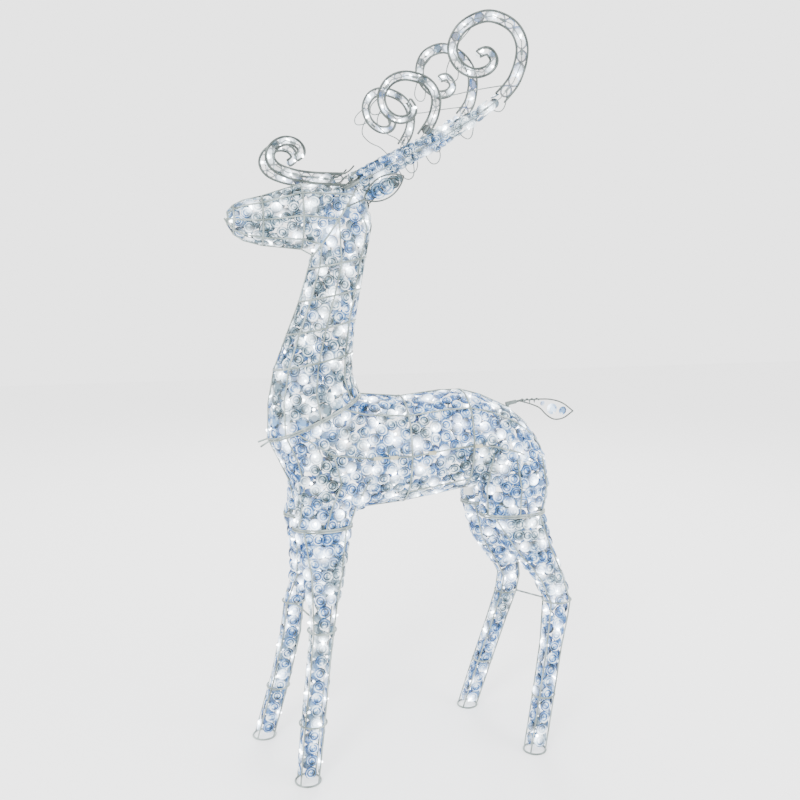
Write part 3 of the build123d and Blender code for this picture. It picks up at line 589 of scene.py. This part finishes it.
def disc(mesh, point, normal, radius, glow, squash=1.0, spin=None, window=0.0, shade=0.0):
    """A faceted disc, each facet with its own share of painted light: painted reflection, highlight and
    shade.
    """
    if spin is None:
        spin = rng.uniform(0, 2 * math.pi)
    matrix = placed(point, normal, spin, rng.uniform(-DISC_TILT, DISC_TILT))
    matrix = matrix @ Matrix.Diagonal((1, squash, 1, 1))
    height = DISC_HALF_HEIGHT * radius / DISC_R
    bands, caps = ring_stack(mesh, matrix, DISC_PROFILE, radius, height, DISC_SEGMENTS)
    painted_light = mesh.faces.layers.float["painted_light"]
    lit = mesh.faces.layers.float["glow"]
    clear = mesh.faces.layers.float["clear"]
    # A painted highlight towards one side of each disc and painted shade towards the other, with a second
    # swing twice per turn
    bright_side = rng.uniform(0, 2 * math.pi)
    second_side = rng.uniform(0, 2 * math.pi)
    lift = rng.uniform(-PAINTED_LIGHT_SCATTER, PAINTED_LIGHT_SCATTER) + shade
    contrast = rng.uniform(LEAST_CONTRAST, 1.0)
    for band, base in zip(bands, DISC_PAINTED_LIGHT):
        for i, face in enumerate(band):
            angle = 2 * math.pi * i / DISC_SEGMENTS
            once = PAINTED_LIGHT_SWINGS[0] * math.cos(angle - bright_side)
            twice = PAINTED_LIGHT_SWINGS[1] * math.cos(2 * (angle - second_side))
            middle = CAP_PAINTED_LIGHT + (base - CAP_PAINTED_LIGHT) * contrast
            face[painted_light] = middle + (once + twice) + lift + rng.uniform(-PAINTED_LIGHT_SCATTER, PAINTED_LIGHT_SCATTER)
    for face in caps:
        face[painted_light] = CAP_PAINTED_LIGHT + lift
    for face in bands[0] + bands[1] + bands[2] + bands[-1] + caps:
        face[clear] = window
    for face in [face for band in bands for face in band] + caps:
        face[lit] = glow.at(face.calc_center_median())


def disc_field(name, body, places, radius, nodes, glow):
    mesh = new_disc_mesh()
    for point, normal in places:
        disc(mesh, point, normal, radius * rng.uniform(*DISC_SIZES), glow)
    finish_piece(name, mesh, body, MATERIALS["crystal"], nodes)


def bulb_places(candidates):
    """Places for the lit bulbs, a pitch or more apart."""
    chosen = []
    for point, normal in candidates:
        seat = point - normal * BULB_DEPTH
        if all((seat - other[0]).length > BULB_PITCH for other in chosen):
            chosen.append((seat, normal))
    return chosen


def bulb_field(name, body, places, radius=BULB_R):
    """Lit bulbs, each leaning its own way."""
    mesh = bmesh.new()
    for point, normal in places:
        matrix = placed(point, normal, rng.uniform(0, BULB_SPIN), rng.uniform(-BULB_LEAN, BULB_LEAN))
        ring_stack(mesh, matrix, BULB_PROFILE[::-1], radius, radius, BULB_SEGMENTS)
    finish_piece(name, mesh, body, MATERIALS["core"], smooth=True)


# ---------------------------------------------------------------- the deer's parts

def clad(name, body, node, along, pitch, radius, samples):
    """Discs all over a skin, and lit bulbs among them."""
    candidates = Skin([node]).samples(samples[0])
    bulbs = bulb_places(candidates[:samples[1]])
    glow = Glow([point for point, normal in bulbs])
    disc_field(f"{name}_discs", body, packed(candidates, pitch, along), radius, [node], glow)
    bulb_field(f"{name}_bulbs", body, bulbs)


def clad_torso():
    """The torso's two skins, sampled as one so that no seam shows between them."""
    candidates = Skin(["torso_crystal_left", "torso_crystal_right"]).samples(TORSO_SAMPLES[0])
    bulbs = bulb_places(candidates[:TORSO_SAMPLES[1]])
    glow = Glow([point for point, normal in bulbs])
    discs = packed(candidates, DISC_PITCH, Vector((1, 0.15, -0.1)).normalized())
    for name, side in SIDES.items():
        half = [d for d in discs if (d[0].y < 0) == (side < 0)]
        disc_field(f"torso_{name}_discs", "torso", half, DISC_R, [f"torso_crystal_{name}"], glow)
    bulb_field("torso_bulbs", "torso", bulbs)


def clad_legs():
    for pair in ("front", "hind"):
        for side in SIDES:
            node = f"{pair}_{side}_leg_crystal"
            skin = Skin([node])
            bulbs = bulb_places(skin.samples(LEG_SAMPLES))
            glow = Glow([point for point, normal in bulbs])
            name = f"{pair}_{side}_leg"
            disc_field(f"{name}_discs", f"{pair}_legs", leg_discs(skin), LEG_DISC_R, [node], glow)
            bulb_field(f"{name}_bulbs", f"{pair}_legs", bulbs)


def antler_point(x, z, side):
    out = ANTLER_LEAN[0] * (x - ANTLER_FOOT[0]) + ANTLER_LEAN[1] * (z - ANTLER_FOOT[2])
    return Vector((x, side * (ANTLER_FOOT[1] + out), z)) * MM


def antler_normal(side):
    return Vector((-side * ANTLER_LEAN[0], 1, -side * ANTLER_LEAN[1])).normalized()


def brow_point(x, z, side):
    return Vector((x, side * (BROW_FOOT[1] + BROW_LEAN * (x - BROW_FOOT[0])), z)) * MM


def brow_normal(side):
    return Vector((-side * BROW_LEAN, 1, 0)).normalized()


def smooth_line(points):
    """Points along a smooth curve through the given ones, about 1 mm apart."""
    line = []
    for i in range(len(points) - 1):
        before = points[max(i - 1, 0)]
        after = points[min(i + 2, len(points) - 1)]
        start = points[i]
        end = points[i + 1]
        steps = max(2, round((end - start).length / MM))
        for step in range(steps):
            t = step / steps
            line.append(0.5 * (
                2 * start + (end - before) * t
                + (2 * before - 5 * start + 4 * end - after) * t ** 2
                + (3 * start - before - 3 * end + after) * t ** 3
            ))
    line.append(points[-1])
    return line


def curl_discs(name, body, points, normal, radii, node):
    """Oval discs laid flat between a curl's two edge wires, each a little apart from the next."""
    line = smooth_line(points)
    places = []
    travelled = 0.0
    next_at = CURL_START
    for before, here in zip(line, line[1:]):
        travelled += (here - before).length
        if travelled >= next_at:
            share = travelled / (len(line) * MM)
            radius = radii[0] + (radii[1] - radii[0]) * min(share, 1)
            places.append((here, (here - before).normalized(), radius))
            next_at += radius * CURL_STEP
    bulbs = [(here + ahead * radius * CURL_BULB_AHEAD, normal) for here, ahead, radius in places[1::3]]
    glow = Glow([point for point, side in bulbs])
    mesh = new_disc_mesh()
    for here, ahead, radius in places:
        reference = placed(here, normal).to_3x3()
        spin = math.atan2(ahead.dot(reference.col[1]), ahead.dot(reference.col[0]))
        window = rng.choice(CURL_CLEARNESS)
        disc(mesh, here, normal, radius * CURL_DISC_LENGTH, glow, CURL_DISC_WIDTH, spin, window, CURL_SHADE)
    finish_piece(f"{name}_discs", mesh, body, MATERIALS["crystal"], [node])
    bulb_field(f"{name}_bulbs", body, bulbs, CURL_BULB_R)


def curl_rails(points, normal, widths):
    """The two edges of a curl, its half width running from one width to the other."""
    line = smooth_line(points)
    edges = ([], [])
    for i in list(range(0, len(line) - 1, RAIL_STEP)) + [len(line) - 1]:
        ahead = line[min(i + 1, len(line) - 1)] - line[max(i - 1, 0)]
        across = ahead.cross(normal).normalized()
        half = widths[0] + (widths[1] - widths[0]) * i / (len(line) - 1)
        for edge, sign in zip(edges, (1, -1)):
            edge.append(line[i] + across * sign * half)
    return edges


def wires(name, body, runs, radius, material):
    """Round wires along smooth curves."""
    curve = bpy.data.curves.new(name, "CURVE")
    curve.dimensions = "3D"
    curve.bevel_depth = radius
    curve.bevel_resolution = 3
    curve.use_fill_caps = True
    for points in runs:
        spline = curve.splines.new("NURBS")
        spline.points.add(len(points) - 1)
        for end, point in zip(spline.points, points):
            end.co = (*point, 1)
        spline.order_u = min(3, len(points))
        spline.use_endpoint_u = True
    piece = bpy.data.objects.new(name, curve)
    bpy.context.scene.collection.objects.link(piece)
    curve.materials.append(MATERIALS[material])
    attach(piece, body)


def string_loops(side, name):
    """Slack of the light string that stands out in loops from the beam and across the curls."""
    out = antler_normal(side)
    runs = [[antler_point(x, z, side) + out * away * MM for x, z, away in loop] for loop in STRING_LOOPS]
    wires(f"{name}_string_loops", f"{name}_antler", runs, STRING_R, "string")


def collar_stubs():
    """The two hoop ends that stick out where the neck meets the chest."""
    for name, body, start, end in COLLAR_STUBS:
        wires(name, body, [[Vector(start) * MM, Vector(end) * MM]], COLLAR_WIRE_R, "frame")


def clad_antlers():
    for name, side in SIDES.items():
        body = f"{name}_antler"
        rails = []
        for kind, points, normal in (
            ("end", [antler_point(x, z, side) for x, z in END_CURL], antler_normal(side)),
            ("mid", [antler_point(x, z, side) for x, z in MID_CURL], antler_normal(side)),
            ("brow", [brow_point(x, z, side) for x, z in BROW_CURL], brow_normal(side)),
        ):
            radii, half_widths = CURL_SIZES[kind]
            rails += curl_rails(points, normal, half_widths)
            curl_discs(f"{name}_{kind}_curl", body, points, normal, radii,
                       f"{body}_{kind}_curl_crystal")
        wires(f"{name}_curl_rails", body, rails, RAIL_R, "antler")
        string_loops(side, name)
        clad(f"{name}_beam", body, f"{body}_beam_crystal", Vector((0.8, 0, 0.6)),
             BEAM_PITCH, BEAM_DISC_R, BEAM_SAMPLES)


def clad_ears():
    for name, side in SIDES.items():
        base = Vector((EAR_BASE[0], side * EAR_BASE[1], EAR_BASE[2])) * MM
        axis = Vector((EAR_AXIS[0], side * EAR_AXIS[1], EAR_AXIS[2])).normalized()
        width = Vector((0, 0, 1)) - axis * axis.z
        normal = axis.cross(width).normalized()
        mesh = new_disc_mesh()
        glow = Glow([])
        for distance, radius in EAR_DISCS:
            disc(mesh, base + axis * distance * MM, normal, radius * MM, glow, shade=EAR_SHADE)
        finish_piece(f"{name}_ear_discs", mesh, "neck_head", MATERIALS["crystal"],
                     [f"{name}_ear_crystal"])


def clad_tail():
    mesh = new_disc_mesh()
    glow = Glow([Vector(TAIL_BULB) * MM])
    for x, z, radius in TAIL_DISCS:
        disc(mesh, Vector((x, 0, z)) * MM, Vector((0, 1, 0)), radius * MM, glow)
    finish_piece("tail_discs", mesh, "tail", MATERIALS["crystal"], ["tail_crystals"])


def tail_twist():
    """The light string, wound round the tail's stem."""
    run = []
    for i in range(TWIST_POINTS + 1):
        share = i / TWIST_POINTS
        angle = 2 * math.pi * TWIST_TURNS * share
        along = Vector(TWIST_START) + Vector((TWIST_LENGTH * share, 0, 0))
        run.append(along * MM + Vector((0, math.cos(angle), math.sin(angle))) * TWIST_R)
    wires("tail_string_twist", "tail", [run], TWIST_WIRE_R, "string")


def dress_cad_nodes():
    """Gives every carried-over CAD node its own slot's material."""
    for entry in frame["record"]["subparts"]:
        node = NODES[entry["node"]]
        node.data.materials.clear()
        look = entry["material_slot"]
        # These frames get the darker copy of the wire: painted shade
        if entry["node"] in SHADED_FRAMES:
            look = "antler"
        node.data.materials.append(MATERIALS[look])


# ---------------------------------------------------------------- stage

def stage():
    bpy.ops.mesh.primitive_plane_add(size=FLOOR_SIZE, location=(0, 0, 0))
    floor = bpy.context.object
    floor.name = "floor"
    material, nodes = new_material("pale_floor")[:2]
    shader = nodes["Principled BSDF"]
    shader.inputs["Base Color"].default_value = (0.93, 0.93, 0.93, 1)
    shader.inputs["Roughness"].default_value = 0.9
    floor.data.materials.append(material)
    world = bpy.context.scene.world or bpy.data.worlds.new("World")
    bpy.context.scene.world = world
    world.use_nodes = True
    background = world.node_tree.nodes["Background"]
    background.inputs["Color"].default_value = (1.0, 1.0, 1.0, 1)
    background.inputs["Strength"].default_value = WORLD_STRENGTH
    for name, place, size, power in LIGHTS:
        light = bpy.data.lights.new(name, "AREA")
        light.size = size
        light.energy = power
        lamp = bpy.data.objects.new(name, light)
        bpy.context.scene.collection.objects.link(lamp)
        lamp.location = place
        towards = Vector(LIGHTS_TOWARDS) - Vector(place)
        lamp.rotation_euler = towards.to_track_quat("-Z", "Y").to_euler()


def camera():
    data = bpy.data.cameras.new("camera")
    data.lens = CAMERA_LENS
    data.sensor_width = CAMERA_SENSOR
    view = bpy.data.objects.new("camera", data)
    bpy.context.scene.collection.objects.link(view)
    view.location = CAMERA_AT
    view.rotation_euler = Vector(CAMERA_TOWARDS).to_track_quat("-Z", "Y").to_euler()
    bpy.context.scene.camera = view


camera()
stage()
MATERIALS = make_materials()
dress_cad_nodes()
clad_torso()
clad("neck", "neck_head", "neck_crystal", Vector((0.2, 0.1, 1)).normalized(),
     DISC_PITCH, DISC_R, BODY_SAMPLES)
clad("head", "neck_head", "head_crystal", Vector((-1, 0.1, 0.1)).normalized(),
     HEAD_PITCH, HEAD_DISC_R, HEAD_SAMPLES)
clad_ears()
clad_legs()
clad_antlers()
clad_tail()
tail_twist()
collar_stubs()
